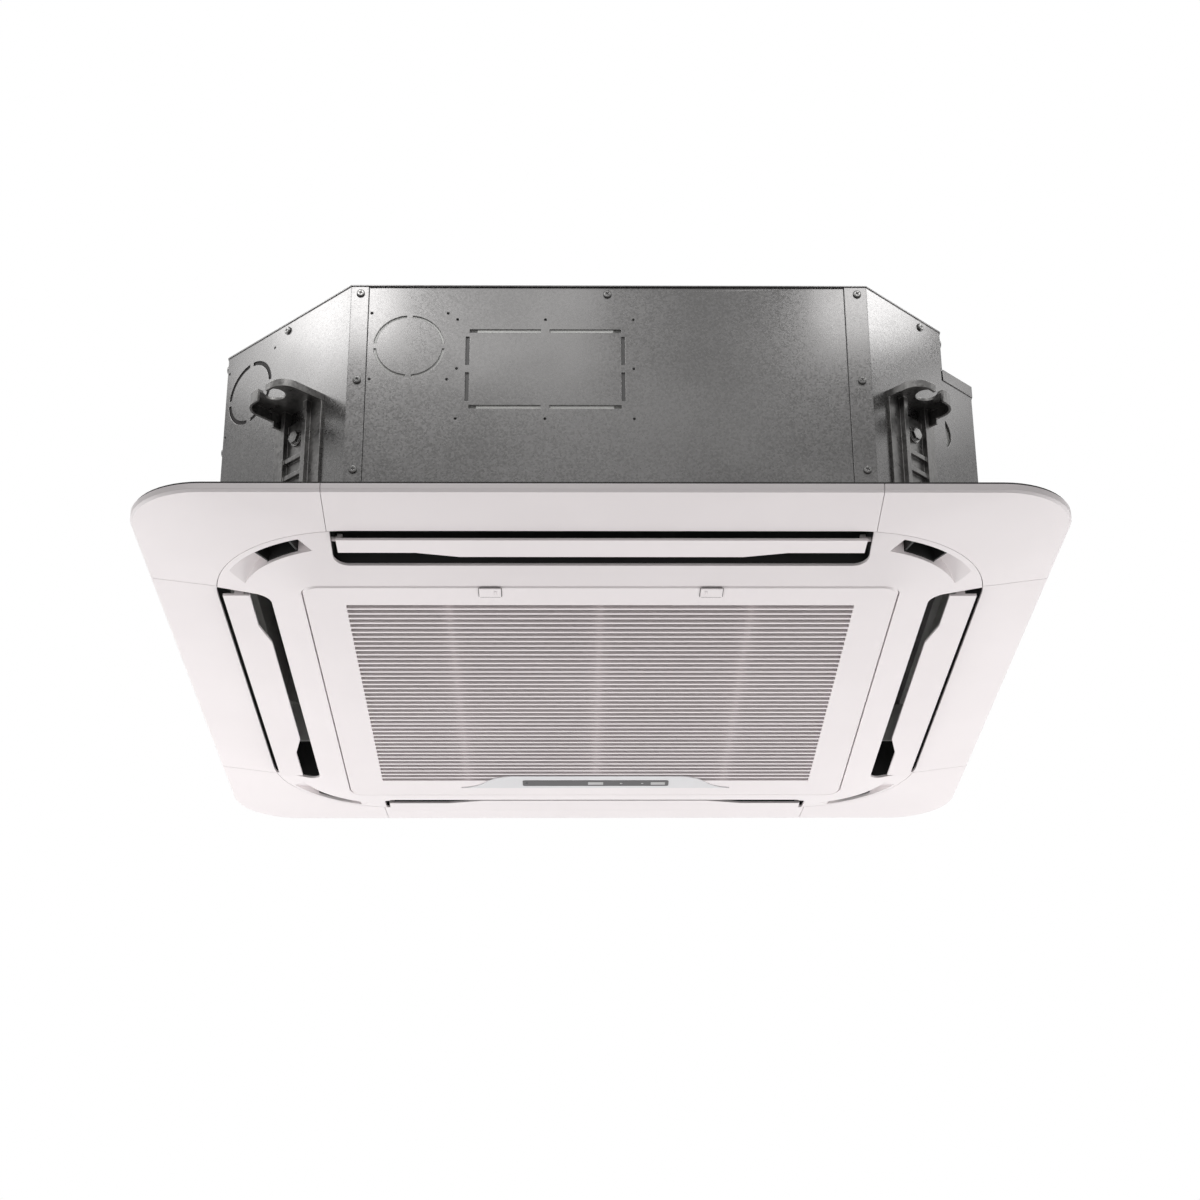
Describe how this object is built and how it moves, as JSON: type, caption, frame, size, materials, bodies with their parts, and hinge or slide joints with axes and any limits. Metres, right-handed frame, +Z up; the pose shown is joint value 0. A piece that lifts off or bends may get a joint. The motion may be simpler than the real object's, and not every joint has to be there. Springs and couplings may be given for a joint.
{
  "type": "four-way ceiling cassette air conditioner",
  "caption": "Ceiling cassette air conditioner: galvanised casing with hooks for hanging rods, white square panel with tilting louvers and a hinged slatted intake grille, fan and coil inside.",
  "frame": {"origin": "middle of the panel on the ceiling plane, at the top of the gasket", "axes": "+Z up into the ceiling, -Y towards the front of the picture, +X to its right"},
  "size_m": [0.95, 0.95, 0.311],
  "materials": {
    "white_panel": "fine satin white",
    "galvanised_sheet": "galvanised with fine spangle",
    "hanger_steel": "zinc-plated, dull",
    "zinc_steel": "zinc-plated",
    "black_plastic": "matte black",
    "gasket_foam": "black closed-cell foam",
    "bush_rubber": "black rubber",
    "white_foam": "moulded foam",
    "fin_aluminium": "thin bare fins",
    "copper_and_brass": "drawn metal",
    "grey_plastic": "matte grey",
    "motor_steel": "pressed steel can",
    "board_green": "circuit board",
    "filter_mesh": "fine mesh in a frame",
    "display_grey": "light grey lens",
    "display_dark": "dark grey window"
  },
  "bodies": {
    "casing": {"bell_mouth": "black_plastic", "casing_screws": "zinc_steel", "control_board": "board_green", "control_box": "galvanised_sheet", "control_box_cover": "galvanised_sheet", "corner_cover_front_left": "white_panel", "corner_cover_front_right": "white_panel", "corner_cover_rear_left": "white_panel", "corner_cover_rear_right": "white_panel", "corner_plate_front_left": "galvanised_sheet", "corner_plate_front_right": "galvanised_sheet", "corner_plate_rear_left": "galvanised_sheet", "corner_plate_rear_right": "galvanised_sheet", "drain_outlet": "grey_plastic", "drain_pan": "white_foam", "drain_pump": "black_plastic", "evaporator_fins": "fin_aluminium", "evaporator_tubes": "copper_and_brass", "fan_motor": "motor_steel", "float_guide": "black_plastic", "foam_liner": "white_foam", "front_side_plate": "galvanised_sheet", "gas_pipe": "copper_and_brass", "hanger_bolts": "zinc_steel", "hanger_front_left": "hanger_steel", "hanger_front_right": "hanger_steel", "hanger_rear_left": "hanger_steel", "hanger_rear_right": "hanger_steel", "left_side_plate": "galvanised_sheet", "liquid_pipe": "copper_and_brass", "louver_motors": "black_plastic", "motor_bolts": "zinc_steel", "motor_bushes": "bush_rubber", "outlet_ducts": "black_plastic", "panel_frame": "white_panel", "panel_gasket": "gasket_foam", "panel_screws": "zinc_steel", "rear_side_plate": "galvanised_sheet", "right_side_plate": "galvanised_sheet", "side_box": "galvanised_sheet", "side_box_lid": "galvanised_sheet", "side_trim_front": "white_panel", "side_trim_left": "white_panel", "side_trim_rear": "white_panel", "side_trim_right": "white_panel", "top_plate": "galvanised_sheet"},
    "fan": {"turbo_fan": "black_plastic", "motor_shaft": "zinc_steel", "fan_nut": "zinc_steel"},
    "louver_front": {"louver_front": "white_panel"},
    "louver_rear": {"louver_rear": "white_panel"},
    "louver_left": {"louver_left": "white_panel"},
    "louver_right": {"louver_right": "white_panel"},
    "grille": {"intake_grille": "white_panel", "display_trim": "display_grey", "display_window": "display_dark"},
    "latch_left": {"grille_latch_left": "white_panel"},
    "latch_right": {"grille_latch_right": "white_panel"},
    "filter": {"air_filter": "filter_mesh"},
    "float": {"float": "grey_plastic"}
  },
  "joints": [
    {"name": "fan_spin", "type": "hinge", "parent": "casing", "child": "fan", "pos_m": [0, 0, 0.17], "axis": [0, 0, 1], "continuous": true},
    {"name": "louver_front_tilt", "type": "hinge", "parent": "casing", "child": "louver_front", "pos_m": [0, -0.382, -0.017], "axis": [1, 0, 0], "range_deg": [0, 60]},
    {"name": "louver_rear_tilt", "type": "hinge", "parent": "casing", "child": "louver_rear", "pos_m": [0, 0.382, -0.017], "axis": [-1, 0, 0], "range_deg": [0, 60]},
    {"name": "louver_left_tilt", "type": "hinge", "parent": "casing", "child": "louver_left", "pos_m": [-0.382, 0, -0.017], "axis": [0, -1, 0], "range_deg": [0, 60]},
    {"name": "louver_right_tilt", "type": "hinge", "parent": "casing", "child": "louver_right", "pos_m": [0.382, 0, -0.017], "axis": [0, 1, 0], "range_deg": [0, 60]},
    {"name": "grille_hinge", "type": "hinge", "parent": "casing", "child": "grille", "pos_m": [0, 0.289, -0.0315], "axis": [1, 0, 0], "range_deg": [0, 85]},
    {"name": "latch_left_slide", "type": "slide", "parent": "grille", "child": "latch_left", "axis": [1, 0, 0], "range_m": [0, 0.006], "stiffness_N_per_m": 150, "springref_m": -0.002},
    {"name": "latch_right_slide", "type": "slide", "parent": "grille", "child": "latch_right", "axis": [-1, 0, 0], "range_m": [0, 0.006], "stiffness_N_per_m": 150, "springref_m": -0.002},
    {"name": "filter_lift", "type": "slide", "parent": "grille", "child": "filter", "axis": [0, 0, 1], "range_m": [0, 0.009]},
    {"name": "float_rise", "type": "slide", "parent": "casing", "child": "float", "axis": [0, 0, 1], "range_m": [0, 0.012]}
  ]
}
